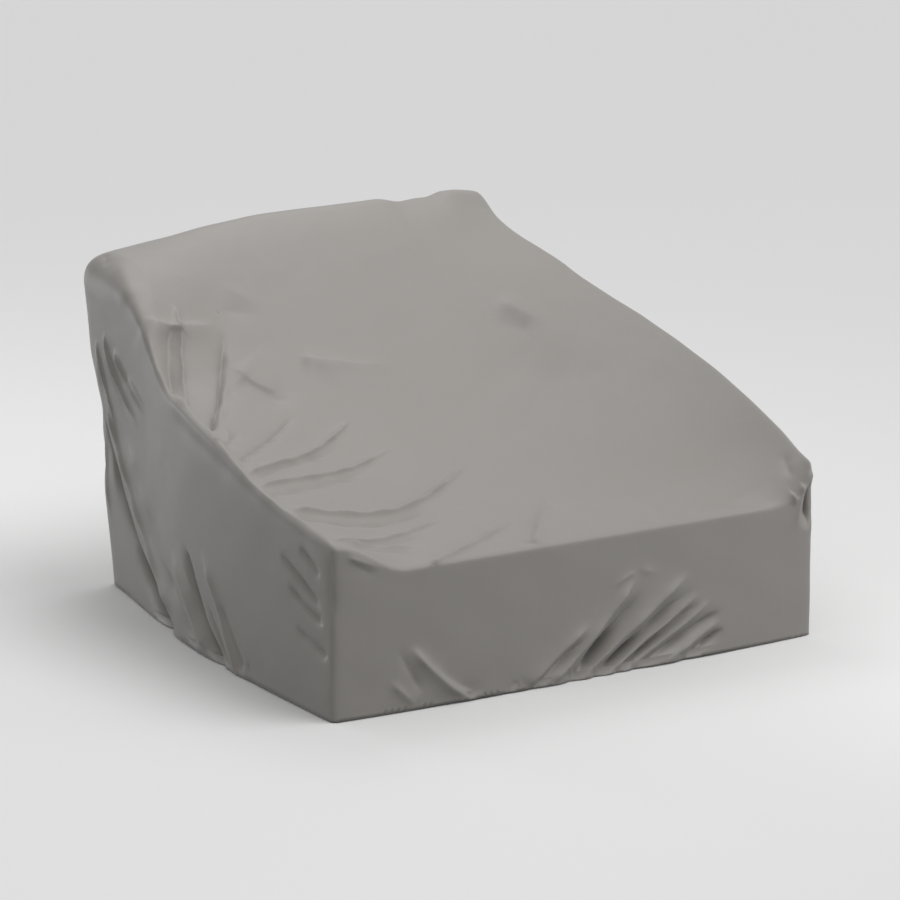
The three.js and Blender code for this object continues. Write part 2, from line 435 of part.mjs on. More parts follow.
// Delaunay triangles over the flat layout, one corner added at a time.
function facets(corners) {
  const far = 1e3 * HALF;
  const pts = [...corners, [-far, -far], [far, -far], [0, far]];
  const n = corners.length;
  const circle = ([i, j, k]) => {
    const [ax, ay] = pts[i], bx = pts[j][0] - ax, by = pts[j][1] - ay, cx = pts[k][0] - ax, cy = pts[k][1] - ay;
    const d = 2 * (bx * cy - by * cx), b2 = bx * bx + by * by, c2 = cx * cx + cy * cy;
    const x = (cy * b2 - by * c2) / d, y = (bx * c2 - cx * b2) / d;
    return { x: ax + x, y: ay + y, reach: x * x + y * y };
  };
  const make = (corner) => ({ corner, ...circle(corner) });
  let open = [make([n, n + 1, n + 2])];
  const done = [];
  const order = corners.map((_, i) => i).sort((i, j) => pts[i][0] - pts[j][0]);
  for (const p of order) {
    const [x, y] = pts[p];
    const edges = new Map();
    open = open.filter((tri) => {
      const dx = x - tri.x, dy = y - tri.y;
      if (dx > 0 && dx * dx > tri.reach) { done.push(tri.corner); return false; }
      if (dx * dx + dy * dy > tri.reach) return true;
      const [i, j, k] = tri.corner;
      for (const [u, v] of [[i, j], [j, k], [k, i]]) {
        if (!edges.delete(v + ' ' + u)) edges.set(u + ' ' + v, [u, v]);
      }
      return false;
    });
    for (const [u, v] of edges.values()) open.push(make([u, v, p]));
  }
  return [...done, ...open.map((tri) => tri.corner)].filter((tri) => tri.every((i) => i < n));
}

// A slight unevenness keeps four corners off one circle.
const layout = places.map((place, i) => {
  const [x, y] = flat(place);
  return [x + UNEVEN * Math.sin(i * 7.3), y + UNEVEN * Math.cos(i * 5.1)];
});
const skin = facets(layout);
const outer = places.map(clothPoint);

// The inner face lies one cloth thickness under the outer one.
const normals = outer.map(() => new THREE.Vector3());
for (const [i, j, k] of skin) {
  const normal = outer[j].clone().sub(outer[i]).cross(outer[k].clone().sub(outer[i]));
  for (const v of [i, j, k]) normals[v].add(normal);
}
const inner = outer.map((p, i) => p.clone().addScaledVector(normals[i].normalize(), -SHEET));

// Both faces, joined by a strip along the hem, where an edge has a facet on one side.
const edgesOf = ([i, j, k]) => [[i, j], [j, k], [k, i]];
const used = new Set(skin.flatMap(edgesOf).map(([u, v]) => `${u} ${v}`));
const count = outer.length;
const index = [];
for (const [i, j, k] of skin) {
  index.push(i, j, k, count + i, count + k, count + j);
  for (const [u, v] of edgesOf([i, j, k])) {
    if (used.has(`${v} ${u}`)) continue;
    inner[u].z = outer[u].z;
    inner[v].z = outer[v].z;
    index.push(v, u, count + u, v, count + u, count + v);
  }
}

const geometry = new THREE.BufferGeometry();
geometry.setAttribute('position', new THREE.Float32BufferAttribute([...outer, ...inner].flatMap((p) => p.toArray()), 3));
geometry.setIndex(index);

// The frame stands on the middle of the underside.
geometry.computeBoundingBox();
const { min, max } = geometry.boundingBox;
geometry.translate(-(min.x + max.x) / 2, -(min.y + max.y) / 2, -min.z);
geometry.computeVertexNormals();

const cover = new THREE.Mesh(geometry, new THREE.MeshStandardMaterial(CLOTH));
cover.name = 'cover';
const part = new THREE.Group();
part.name = 'daybed_cover';
part.add(cover);
export default part;
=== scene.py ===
"""Looks of a fitted daybed cover: its draped cloth with every fold, its coated finish and a plain studio."""
import math

import bpy
import numpy as np
from bpy.props import FloatProperty, FloatVectorProperty, PointerProperty
from mathutils import Matrix, Vector


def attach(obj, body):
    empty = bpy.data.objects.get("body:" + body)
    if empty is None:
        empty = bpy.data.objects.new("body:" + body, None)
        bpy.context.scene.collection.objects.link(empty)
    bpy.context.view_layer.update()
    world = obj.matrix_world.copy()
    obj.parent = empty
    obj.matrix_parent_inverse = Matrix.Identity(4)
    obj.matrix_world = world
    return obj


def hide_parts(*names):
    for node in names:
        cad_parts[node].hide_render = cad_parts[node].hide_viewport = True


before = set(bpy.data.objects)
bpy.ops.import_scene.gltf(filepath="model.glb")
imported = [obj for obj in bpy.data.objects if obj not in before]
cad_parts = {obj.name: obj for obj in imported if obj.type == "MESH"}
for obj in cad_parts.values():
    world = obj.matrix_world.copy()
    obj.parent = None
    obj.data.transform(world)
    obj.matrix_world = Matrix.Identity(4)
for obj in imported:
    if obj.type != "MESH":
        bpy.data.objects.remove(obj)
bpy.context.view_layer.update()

bl_info = {
    "name": "Daybed cover",
    "version": (1, 0, 0),
    "blender": (4, 5, 0),
    "location": "View3D > Sidebar > Daybed cover",
    "description": "Builds the draped cover, its cloth finish and the studio it stands in",
    "category": "Add Mesh",
}

MM = 0.001

# Sizes of the cover in millimetres. X runs along the front from its middle, Y from
# the front hem to the back, Z up from the floor.
HALF = 775.0  # half the width at the front hem
BACK_RIM = 1545.0  # front hem to the top edge of the back
BACK_HEM = 1480.0  # front hem to the back hem
FRONT_BOW = 26.0  # how far the front hem stands out between its corners
HEM_WAVE = 3.0  # how far the hem lifts between its low spots
FRONT_ROUND = 11.0  # rounding of the crease over the front wall
BACK_ROUND = 58.0  # rounding of the top edge of the back
RIM_BLEND = 24  # how suddenly one rim's rounding gives way to the next


def table(names, rows):
    """A table with named columns, each an array."""
    return {name: np.array(column, float) for name, column in zip(names.split(), zip(*rows))}


# Cross sections from front to back: half widths of the rim, heights of the left rim,
# the middle and the right rim, where the dish starts to climb, how level it runs out
# at the rim, and the rounding of the rim.
SECTIONS = table(
    "y half_left half_right z_left z_mid z_right "
    "dish_left dish_right flat_left flat_right round_left round_right",
    [
        (0, 768, 772, 477, 388, 497, 0.70, 0.80, 1.0, -0.5, 16, 14),
        (60, 772, 774, 492, 399, 515, 0.66, 0.45, 0.9, -0.3, 22, 16),
        (170, 776, 777, 508, 410, 562, 0.50, 0.30, 0.6, -0.35, 25, 18),
        (290, 777, 778, 526, 420, 607, 0.38, 0.15, 0.5, -0.2, 26, 20),
        (430, 777, 778, 558, 436, 653, 0.30, 0.05, 0.4, 0.0, 26, 22),
        (640, 769, 770, 624, 478, 713, 0.30, 0.00, 0.4, 0.1, 27, 24),
        (820, 757, 758, 663, 543, 757, 0.30, 0.00, 0.4, 0.15, 28, 26),
        (1000, 731, 730, 700, 640, 806, 0.40, 0.05, 0.4, 0.2, 30, 28),
        (1105, 713, 712, 773, 712, 838, 0.50, 0.10, 0.5, 0.3, 36, 30),
        (1170, 704, 700, 846, 764, 861, 0.56, 0.15, 0.6, 0.35, 46, 30),
        (1260, 700, 684, 915, 842, 886, 0.50, 0.30, 0.7, 0.45, 70, 30),
        (1340, 702, 669, 950, 916, 907, 0.40, 0.50, 0.8, 0.5, 95, 32),
        (1450, 704, 653, 970, 1003, 950, 0.20, 0.70, 0.8, 0.5, 115, 34),
        (1500, 704, 649, 972, 1028, 985, 0.10, 0.80, 0.8, 0.6, 115, 30),
        (1545, 700, 647, 968, 1033, 1022, 0.05, 0.84, 0.8, 0.8, 110, 26),
    ],
)

# Half widths of the hem, which runs straight and then draws in to the back.
HEM = table("y left right", [
    (0, 775, 775),
    (330, 780, 779),
    (580, 776, 775),
    (835, 759, 757),
    (1080, 715, 714),
    (1330, 669, 668),
    (1480, 645, 645),
])

# How square each upright corner is: a higher number is a sharper corner.
SQUARE = {"front_left": 90, "front_right": 90, "back_left": 60, "back_right": 60}

# Folds and soft forms. Each runs through three places on one face, given as X and Z on
# the front and back, Y and Z on the sides, X and Y on the top. Width is from the crest
# to about a third of the height, at its start and its end. Crest is how blunt it is.
# Height is out of the cloth, or in where it is negative. Lean sets one flank steeper
# than the other. Fades are the share of the length over which it rises and dies.
FOLDS = [
    # face, start, middle, end, width, crest, height, lean, fades
    # Fan of folds drawn up from the front hem
    ("front", (30, 156), (-68, 90), (-188, -2), (12, 15), 0.35, 11, -0.1, (0.3, 0.1)),
    ("front", (178, 260), (47, 129), (-112, -3), (11, 14), 0.35, 15, -0.1, (0.2, 0.1)),
    ("front", (364, 250), (178, 131), (-14, -3), (13, 15), 0.35, 14, -0.1, (0.25, 0.1)),
    ("front", (387, 186), (243, 98), (74, -3), (8, 10), 0.35, 11, -0.1, (0.25, 0.1)),
    ("front", (426, 160), (288, 82), (112, -3), (8, 10), 0.35, 10, -0.1, (0.25, 0.1)),
    ("front", (456, 98), (365, 52), (258, -3), (8, 10), 0.35, 8, -0.1, (0.3, 0.1)),
    # Valleys between them
    ("front", (44, 134), (-62, 66), (-170, -3), (11, 14), 0.35, -19, 0, (0.45, 0)),
    ("front", (214, 236), (92, 110), (-40, -4), (16, 18), 0.5, -36, 0, (0.6, 0)),
    ("front", (374, 206), (212, 107), (38, -4), (11, 15), 0.4, -31, 0, (0.5, 0)),
    ("front", (398, 160), (262, 86), (110, -4), (9, 14), 0.4, -29, 0, (0.45, 0)),
    ("front", (462, 122), (330, 68), (165, -4), (10, 13), 0.4, -25, 0, (0.35, 0)),
    ("front", (468, 71), (405, 40), (325, -3), (8, 11), 0.35, -22, 0, (0.4, 0)),
    # Two folds low on the left of the front
    ("front", (-543, 184), (-474, 99), (-358, 0), (13, 18), 0.35, 15, -0.2, (0.35, 0)),
    ("front", (-452, 108), (-404, 54), (-300, 4), (16, 22), 0.35, -7, 0, (0.4, 0.2)),
    # Tucks where the cloth turns the right corner of the front
    ("front", (744, 436), (741, 377), (736, 306), (10, 11), 0.35, -9, 0, (0.3, 0.4)),
    ("right", (8, 480), (12, 390), (26, 270), (15, 22), 0.6, 10, 0, (0.25, 0.4)),
    # Long folds hanging from the back corner down the left side
    ("left", (1482, 600), (1300, 250), (964, -2), (10, 15), 0.35, -26, -0.3, (0.2, 0)),
    ("left", (1262, 174), (1096, 80), (962, -4), (12, 20), 0.35, -46, -0.2, (0.35, 0)),
    ("left", (1440, 610), (1244, 325), (940, 50), (12, 17), 0.35, 15, 0, (0.2, 0.1)),
    ("left", (1472, 713), (1427, 487), (1370, 233), (16, 22), 0.35, 10, 0, (0.25, 0.4)),
    ("left", (1400, 690), (1333, 606), (1237, 510), (11, 14), 0.4, -6, 0, (0.35, 0.4)),
    ("left", (1312, 500), (1187, 368), (1029, 225), (26, 30), 0.6, 9, 0, (0.35, 0.4)),
    ("left", (1029, 205), (905, 118), (745, 0), (13, 17), 0.35, -11, -0.2, (0.4, 0.1)),
    ("left", (935, 245), (840, 150), (690, 8), (13, 17), 0.35, 10, 0, (0.4, 0.1)),
    ("left", (828, 290), (750, 145), (596, -2), (13, 16), 0.35, -40, -0.25, (0.35, 0)),
    ("left", (728, 298), (630, 196), (505, 0), (14, 18), 0.35, 12, 0, (0.4, 0)),
    ("left", (611, 186), (559, 120), (470, 8), (11, 14), 0.35, -10, 0, (0.4, 0.1)),
    # Short slanting tucks beside the front corner
    ("left", (176, 440), (119, 411), (60, 380), (9, 9), 0.35, -12, 0.2, (0.3, 0.25)),
    ("left", (270, 404), (171, 351), (50, 295), (9, 10), 0.35, -15, 0.2, (0.3, 0.2)),
    ("left", (228, 326), (147, 285), (42, 255), (9, 10), 0.35, -14, 0.2, (0.3, 0.2)),
    ("left", (190, 220), (109, 188), (22, 170), (10, 10), 0.35, -12, 0.2, (0.3, 0.2)),
    # Wrinkles that run from the left arm across the dish
    ("top", (-352, 909), (-545, 735), (-734, 546), (7, 9), 0.35, -9, 0, (0.3, 0.05)),
    ("top", (-205, 862), (-385, 738), (-757, 480), (7, 10), 0.35, 11, -0.4, (0.3, 0.05)),
    ("top", (-145, 723), (-398, 607), (-760, 411), (7, 10), 0.35, 11, -0.4, (0.3, 0.05)),
    ("top", (-223, 675), (-495, 512), (-756, 356), (12, 16), 0.35, -9, 0, (0.35, 0.05)),
    ("top", (35, 616), (-340, 365), (-752, 260), (7, 10), 0.35, 15, -0.4, (0.3, 0.05)),
    ("top", (-200, 410), (-500, 258), (-750, 222), (12, 15), 0.35, -12, 0, (0.3, 0.05)),
    ("top", (-237, 282), (-451, 192), (-742, 44), (7, 9), 0.35, 9, -0.4, (0.3, 0.05)),
    ("top", (-83, 197), (-256, 89), (-452, 8), (8, 9), 0.35, 10, -0.4, (0.3, 0)),
    ("top", (180, 414), (26, 213), (-137, 12), (22, 16), 0.35, 10, -0.2, (0.4, 0.05)),
    # Folds in the corner between the back and the left arm
    ("top", (-556, 1238), (-624, 1080), (-732, 860), (7, 8), 0.35, 10, 0, (0.12, 0.1)),
    ("top", (-600, 1170), (-655, 1088), (-738, 900), (18, 14), 0.5, -16, 0, (0.15, 0.2)),
    ("top", (-421, 1198), (-521, 1035), (-742, 700), (12, 9), 0.35, -16, 0, (0.4, 0.1)),
    ("top", (-468, 1082), (-416, 1023), (-345, 980), (44, 34), 0.3, 10, 0.55, (0.2, 0.3)),
    ("top", (-680, 1184), (-604, 1168), (-436, 1208), (32, 30), 0.5, 15, -0.6, (0.3, 0.2)),
    # Soft forms where the top turns up to the back
    ("top", (-245, 1090), (-118, 1041), (60, 1026), (34, 38), 0.35, 18, -0.5, (0.15, 0.5)),
    ("top", (436, 1140), (486, 1058), (540, 985), (30, 34), 0.8, 11, 0.2, (0.35, 0.4)),
    ("top", (372, 1082), (430, 1030), (488, 985), (26, 24), 0.8, -5, 0, (0.35, 0.35)),
    ("top", (290, 1020), (445, 835), (600, 650), (90, 100), 1.2, -14, 0, (0.35, 0.4)),
    ("top", (250, 1526), (375, 1526), (500, 1526), (70, 60), 1.2, -14, 0, (0.4, 0.3)),
    # The right side and the back
    ("right", (1440, 760), (1290, 380), (960, 6), (22, 36), 0.35, -19, -0.2, (0.3, 0)),
    ("right", (1330, 720), (1160, 360), (820, 10), (22, 32), 0.35, 12, 0, (0.3, 0)),
    ("right", (690, 300), (600, 170), (470, 4), (20, 28), 0.35, -13, -0.2, (0.4, 0)),
    ("back", (-560, 860), (-470, 480), (-420, 4), (28, 40), 0.6, -18, 0, (0.3, 0)),
    ("back", (-470, 800), (-350, 420), (-300, 4), (28, 38), 0.6, 13, 0, (0.35, 0)),
    ("back", (570, 880), (450, 500), (390, 4), (28, 42), 0.6, -18, 0, (0.25, 0)),
    ("back", (480, 760), (330, 400), (250, 4), (28, 40), 0.6, 13, 0, (0.35, 0)),
]

# Creases too fine for the solid, in the same columns.
CREASES = [
    # Between the folds of the fan, and the nicks at its hem
    ("front", (186, 272), (134, 259), (98, 230), (8, 9), 0.3, 3.5, 0, (0.25, 0.5)),
    ("front", (186, 273), (226, 267), (270, 248), (9, 10), 0.3, 2.5, 0, (0.25, 0.6)),
    ("front", (130, 150), (62, 92), (-10, 26), (12, 11), 0.4, -15, 0, (0.4, 0.2)),
    ("front", (210, 106), (124, 52), (62, 8), (8, 9), 0.35, -11, 0, (0.4, 0.2)),
    ("front", (232, 72), (176, 40), (130, 8), (8, 9), 0.35, -11, 0, (0.4, 0.2)),
    ("front", (-207, 28), (-225, 16), (-250, 2), (8, 9), 0.4, -6, 0, (0.4, 0)),
    # Beside the low folds and the left arm's front end
    ("front", (-582, 188), (-540, 103), (-500, 36), (10, 12), 0.4, -6, 0, (0.4, 0.3)),
    ("front", (-608, 93), (-568, 53), (-528, 12), (10, 12), 0.4, 6, 0, (0.4, 0.1)),
    ("front", (-735, 452), (-683, 428), (-616, 396), (8, 9), 0.35, 6, 0, (0.3, 0.4)),
    ("front", (-722, 430), (-680, 406), (-630, 380), (10, 10), 0.5, -3, 0, (0.4, 0.4)),
    # Beside the right corner
    ("front", (767, 462), (761, 394), (750, 300), (12, 12), 0.35, -25, 0, (0.35, 0.3)),
    ("front", (738, 444), (728, 385), (712, 305), (9, 12), 0.35, 9, 0, (0.2, 0.4)),
    ("front", (710, 440), (708, 410), (704, 376), (8, 9), 0.35, 8, 0, (0.3, 0.4)),
    ("top", (712, 22), (722, 60), (738, 110), (12, 14), 0.4, -6, 0, (0.3, 0.4)),
    # Left side
    ("left", (1190, 124), (1086, 72), (966, -4), (12, 14), 0.35, -20, -0.2, (0.4, 0)),
    ("left", (1462, 600), (1424, 455), (1330, 300), (9, 9), 0.35, -13, 0, (0.3, 0.3)),
    ("left", (1462, 740), (1420, 622), (1352, 490), (7, 8), 0.3, 9, 0, (0.2, 0.3)),
    ("left", (1480, 700), (1500, 480), (1490, 260), (60, 60), 1.0, -14, 0, (0.4, 0.4)),
    ("left", (1470, 470), (1452, 330), (1442, 190), (7, 9), 0.35, 7, 0, (0.3, 0.4)),
    ("left", (690, 165), (632, 98), (548, 0), (7, 10), 0.35, -11, -0.3, (0.5, 0)),
    ("left", (1408, 768), (1338, 650), (1190, 535), (7, 9), 0.3, 14, 0.2, (0.2, 0.3)),
    ("left", (1350, 728), (1277, 660), (1150, 575), (7, 9), 0.3, 12, 0.2, (0.25, 0.3)),
    ("left", (1262, 672), (1205, 636), (1140, 600), (6, 7), 0.35, 5, 0, (0.3, 0.4)),
    ("left", (875, 246), (777, 157), (664, 44), (10, 13), 0.35, 6, 0, (0.4, 0.3)),
    ("left", (455, 57), (433, 29), (405, 0), (12, 14), 0.4, -5, 0, (0.4, 0)),
    ("left", (974, 638), (511, 549), (65, 449), (26, 20), 0.6, -6, 0, (0.15, 0.1)),
    ("left", (22, 452), (13, 357), (8, 255), (10, 12), 0.4, -6, 0, (0.2, 0.4)),
    # Wrinkles across the dish
    ("top", (-284, 762), (-502, 635), (-742, 454), (12, 13), 0.35, -7, 0, (0.35, 0.1)),
    ("top", (-346, 198), (-482, 150), (-660, 70), (10, 11), 0.35, -6, 0, (0.35, 0.1)),
    ("top", (-424, 107), (-543, 116), (-705, 52), (8, 9), 0.35, 6, -0.2, (0.3, 0.1)),
    ("top", (-450, 64), (-545, 92), (-705, 26), (9, 9), 0.35, -4, 0, (0.3, 0.1)),
    ("top", (-385, 46), (-424, 34), (-470, 40), (7, 8), 0.35, 4, 0, (0.3, 0.3)),
    ("top", (18, 253), (-72, 130), (-160, 14), (14, 12), 0.4, -6, 0, (0.4, 0.1)),
    ("top", (-47, 460), (-165, 352), (-297, 237), (12, 12), 0.4, 3, 0, (0.4, 0.4)),
    ("top", (-659, 788), (-676, 724), (-720, 650), (8, 9), 0.35, 5, 0, (0.3, 0.1)),
    ("top", (-616, 764), (-684, 688), (-738, 625), (8, 9), 0.35, -5, 0, (0.3, 0.1)),
    ("top", (222, 19), (262, 72), (304, 125), (10, 12), 0.4, 3, 0, (0.2, 0.5)),
    ("top", (262, 19), (300, 76), (336, 129), (10, 12), 0.4, -2, 0, (0.2, 0.5)),
    # Pale line inside the left arm's rim
    ("top", (-699, 1163), (-717, 977), (-746, 657), (8, 8), 0.35, 5, 0, (0.2, 0)),
    ("top", (-746, 657), (-764, 370), (-742, 8), (8, 8), 0.35, 5, 0, (0, 0.1)),
    # Corner between the back and the left arm
    ("top", (-630, 1470), (-662, 1340), (-690, 1250), (30, 24), 0.8, 7, 0, (0.35, 0.3)),
    ("top", (-672, 1430), (-658, 1456), (-640, 1490), (10, 13), 0.5, -5, 0, (0.4, 0.3)),
    ("top", (-500, 1070), (-590, 930), (-732, 708), (7, 5), 0.3, -7, 0, (0.3, 0.2)),
    ("top", (-494, 1026), (-561, 930), (-677, 757), (12, 8), 0.4, -6, 0, (0.3, 0.3)),
    ("top", (-523, 1064), (-590, 940), (-694, 780), (10, 10), 0.35, 6, 0, (0.3, 0.3)),
    ("top", (-462, 1044), (-402, 986), (-340, 941), (30, 26), 0.6, -11, 0, (0.15, 0.4)),
    ("top", (-390, 1304), (-323, 1270), (-257, 1235), (20, 20), 0.6, 5, 0, (0.4, 0.5)),
    ("top", (-412, 1248), (-350, 1232), (-287, 1217), (18, 18), 0.6, -5, 0, (0.4, 0.5)),
]

FOLD_FALL = 1.2  # how fast a fold falls away beside its line
FOLD_REACH = 5  # widths past which a fold moves nothing
PATH_STEPS = 30  # straight pieces that stand for a fold's line
HEM_HOLD = 0.3  # share of a fold that the sewn hem lets through
HEM_STIFF = 42.0  # height at which folds stand out in full
UNSHADED_DEPTH = 10.0  # depth down to which a fold gets no painted shade
SHADE_RAMP_DEPTH = 34.0  # further depth over which the painted shade grows to its darkest
WAVER = 1.3  # how far the folds on the top wander from their lines
WAVER_LENGTH = 85.0  # length of one wander
WAVER_HEIGHT = 0.15  # share by which a fold's height rises and falls as it goes
WAVER_SWELL = 3.7  # phase in radians through which that height goes in one wander
LUMP_RUNS = np.array([  # the sines of the soft lumps: phase in radians per millimetre along X, Y and Z
    (0.031, 0.017, 0.011),
    (-0.013, 0.029, 0.023),
    (0.019, -0.021, 0.037),
    (0.041, 0.009, -0.027),
])

LAYOUT_STEP = 2e-3  # step over the layout from which the skin's slopes are taken
TOP_SEEKS, WALL_SEEKS = 12, 14  # steps that find a place on the top, and on a wall
TOP_EDGE, WALL_EDGE = 0.995, 0.998  # how near to the layout's edges a fold's line may come
WALL_PULL = 0.8  # share of the missing height that one step on a wall makes up
FIRST_CELLS = 20  # cells along half the width before the mesh is refined
REFINE_ROUNDS = 6
MANY = 10**7  # more than the mesh has points

TOP_LENGTH = 1900.0  # front crease to the top edge of the back, along the cloth
FRAME_SHIFT = np.array([-0.63, 753.90, -1.88])  # from the sizes above to the part's own frame

# The turned hem behind the cut edge: distance in from the face and height over the edge.
HEM_TURN = [(1.0, 0.0), (2.2, 0.6), (2.6, 24.0)]

# Where the camera stands, in the cover's own sizes: its turn and height in degrees, its
# place along its own right, up and back directions in millimetres, and its lens.
CAMERA = {"azimuth": -31.745, "elevation": 14.685, "right": -350.4, "up": 616.4, "back": 13547.8}
LENS, SENSOR = 200.0, 36.0

# Each wall hangs from one edge of the top: the edge as a function of u from -1 to 1, and
# whether u runs along X, 0, or along Y, 1.
EDGES = {
    "front": (lambda u: (u, -1 + 0 * u), 0),
    "left": (lambda u: (-1 + 0 * u, u), 1),
    "right": (lambda u: (1 + 0 * u, u), 1),
    "back": (lambda u: (u, 1 + 0 * u), 0),
}

# Soft square lights: place and target in metres, side in metres, and the setting that has the power.
SOFT_BOXES = {
    "back_light": ((0.3, 1.2, 2.6), (0.1, 0.5, 0.8), 1.4, "back"),
    "right_light": ((1.7, -1.9, 0.8), (0.75, -0.75, 0.2), 0.8, "right"),
    "front_light": ((-2.4, -4.2, 1.1), (0.0, -0.6, 0.3), 2.0, "front"),
    "left_light": ((-2.4, 4.2, 0.7), (-0.75, 0.3, 0.3), 1.0, "left"),
}
OVERHEAD_SOURCE, OVERHEAD_SPREAD = (0.42, -0.46, 1.0), 40  # direction, and the angle in degrees
FLOOR_RINGS = np.array([3.0, 8.0, 20.0, 60.0])  # radii of the floor's rings in metres
RING_POINTS = 96
HORIZON = 0.3  # height of a direction, of its length, over and under which the room's light is even


# The cloth's shape


def soft(t):
    """Smooth step: 3t^2 - 2t^3 between 0 and 1."""
    t = np.clip(t, 0, 1)
    return t * t * (3 - 2 * t)


def mix(a, b, t):
    """Straight blend from a to b."""
    return a + (b - a) * t


def read(rows, name, y):
    """One column of a table read smoothly at y: a cubic between rows whose slopes are
    harmonic means of the rises beside them, so that it never overshoots."""
    at, value = rows["y"], rows[name]
    rise = np.diff(value) / np.diff(at)
    before, after = rise[:-1], rise[1:]
    total = np.where(before * after > 0, before + after, 1)
    bend = np.concatenate([rise[:1], np.where(before * after > 0, 2 * before * after / total, 0), rise[-1:]])
    i = np.clip(np.searchsorted(at, y, side="right") - 1, 0, len(at) - 2)
    step = at[i + 1] - at[i]
    t = np.clip((y - at[i]) / step, 0, 1)
    return (
        value[i] * (1 + 2 * t) * (1 - t) ** 2
        + value[i + 1] * t * t * (3 - 2 * t)
        + step * (bend[i] * t * (1 - t) ** 2 - bend[i + 1] * t * t * (1 - t))
    )


def squareness(a, b):
    """How far a place on the square outline is pulled in at the corners: (|a|^n + |b|^n)^(-1/n),
    with n blended between the four corners."""
    across, along = soft((a + 1) / 2), soft((b + 1) / 2)
    front = mix(SQUARE["front_left"], SQUARE["front_right"], across)
    back = mix(SQUARE["back_left"], SQUARE["back_right"], across)
    n = mix(front, back, along)
    total = np.abs(a) ** n + np.abs(b) ** n
    return np.where(total > 0, np.where(total > 0, total, 1) ** (-1 / n), 1)


def on_top(a, b):
    """The dished top. Its height goes from the middle's to the rim's by climb^2 (1 + 2 flat (1 - climb)),
    where climb is the share of the way from the dish's foot to the rim."""
    m = np.maximum(np.maximum(np.abs(a), np.abs(b)), 1e-9)
    k = squareness(a / m, b / m)
    across, y = a * k, BACK_RIM * (b * k + 1) / 2

    def side(name):
        return np.where(across < 0, read(SECTIONS, name + "_left", y), read(SECTIONS, name + "_right", y))

    dish = side("dish")
    climb = np.maximum(0, (np.abs(across) - dish) / (1 - dish))
    rise = climb**2 * (1 + 2 * side("flat") * (1 - climb))
    return np.stack([across * side("half"), y, mix(read(SECTIONS, "z_mid", y), side("z"), rise)], -1)


def on_hem(a, b):
    """The hem under a rim place: its half widths from the table, bowed out along the front
    by 1 - a^2, and lifted a little by a slow sine."""
    k = squareness(a, b)
    y = BACK_HEM * (b * k + 1) / 2
    half = np.where(a < 0, read(HEM, "left", y), read(HEM, "right", y))
    bow = FRONT_BOW * (1 - a * a) * soft(-4 * b - 3)
    wave = HEM_WAVE * (0.5 + 0.5 * np.sin(7 * a + 9 * b + 1))
    return np.stack([a * k * half, y - bow, wave], -1)


def on_wall(a, b, t):
    """A wall runs straight from the rim at t 0 to the hem at t 1."""
    return mix(on_top(a, b), on_hem(a, b), t[..., None])


def rounding(a, b):
    """The rim place, and the share of the top and of the wall that its rounding takes."""
    rim = on_top(a, b)
    across, along = np.abs(a) ** RIM_BLEND, np.abs(b) ** RIM_BLEND
    left, right = (read(SECTIONS, name, rim[..., 1]) for name in ("round_left", "round_right"))
    sides = np.where(a < 0, left, right)
    ends = np.where(b < 0, FRONT_ROUND, BACK_ROUND)
    size = (across * sides + along * ends) / np.maximum(across + along, 1e-30)
    return rim, size / HALF, size / rim[..., 2]


def on_skin(a, b):
    """The whole skin before its folds. Inside the unit square is the top, outside it the
    walls, and over the rim a quadratic Bezier curve between them that keeps both slopes."""
    m = np.maximum(np.maximum(np.abs(a), np.abs(b)), 1e-9)
    ra, rb, t = a / m, b / m, m - 1
    rim, inner, outer = rounding(ra, rb)
    s = np.clip(np.where(m < 1, (t + inner) / inner / 2, 0.5 + t / outer / 2), 0, 1)[..., None]
    start, end = on_top(ra * (1 - inner), rb * (1 - inner)), on_wall(ra, rb, outer)
    turned = start * (1 - s) ** 2 + rim * 2 * s * (1 - s) + end * s * s
    flat = np.where((m <= 1)[..., None], on_top(a, b), on_wall(ra, rb, np.maximum(t, 0)))
    return np.where(((m > 1 - inner) & (t < outer))[..., None], turned, flat)


def outward(a, b):
    """The skin's normal: the cross product of its slopes along a and b."""
    along_a = on_skin(a + LAYOUT_STEP, b) - on_skin(a - LAYOUT_STEP, b)
    along_b = on_skin(a, b + LAYOUT_STEP) - on_skin(a, b - LAYOUT_STEP)
    normal = np.cross(along_a, along_b)
    return normal / np.linalg.norm(normal, axis=-1, keepdims=True)


def place_on(face, first, second):
    """The layout places whose skin points have the two sizes given for a face, found by
    stepping against what is still missing."""
    if face == "top":
        a, b = first / HALF, 2 * second / BACK_RIM - 1
        for _ in range(TOP_SEEKS):
            p = on_skin(a, b)
            a = np.clip(a + (first - p[..., 0]) / HALF, -TOP_EDGE, TOP_EDGE)
            b = np.clip(b + 2 * (second - p[..., 1]) / BACK_RIM, -TOP_EDGE, TOP_EDGE)
        return a, b
    edge, axis = EDGES[face]
    run = BACK_HEM / 2 if axis else HALF
    u, t = 0 * first, 0 * first + 0.5
    for _ in range(WALL_SEEKS):
        p = on_wall(*edge(u), t)
        u = np.clip(u + (first - p[..., axis]) / run, -WALL_EDGE, WALL_EDGE)
        t = np.clip(t + WALL_PULL * (p[..., 2] - second) / on_top(*edge(u))[..., 2], 0.005, 1)
    a, b = edge(u)
    return a * (1 + t), b * (1 + t)


